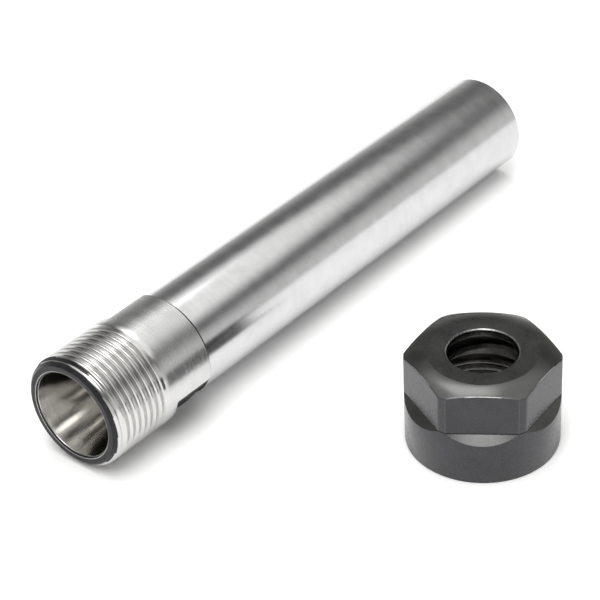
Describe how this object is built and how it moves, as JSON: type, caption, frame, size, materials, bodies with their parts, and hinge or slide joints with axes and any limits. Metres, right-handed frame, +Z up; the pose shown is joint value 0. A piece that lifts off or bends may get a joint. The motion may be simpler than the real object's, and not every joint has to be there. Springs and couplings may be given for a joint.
{
  "type": "collet chuck holder",
  "caption": "Straight-shank collet chuck: ground steel body with an 8 degree taper socket and threaded nose, lying beside its black hexagon clamping nut.",
  "frame": {"origin": "middle of the footprint of both pieces, on the surface that they rest on", "axes": "+X along the chuck body in plan, from its mouth to its rear end; +Z up, along the axis of the standing nut"},
  "size_m": [0.1252, 0.0784, 0.0222],
  "materials": {
    "ground_steel": "ground bright, with a dark front ring",
    "black_oxide_steel": "satin black oxide"
  },
  "bodies": {
    "root": {"chuck_body": "ground_steel", "clamping_nut": "black_oxide_steel"}
  },
  "joints": []
}
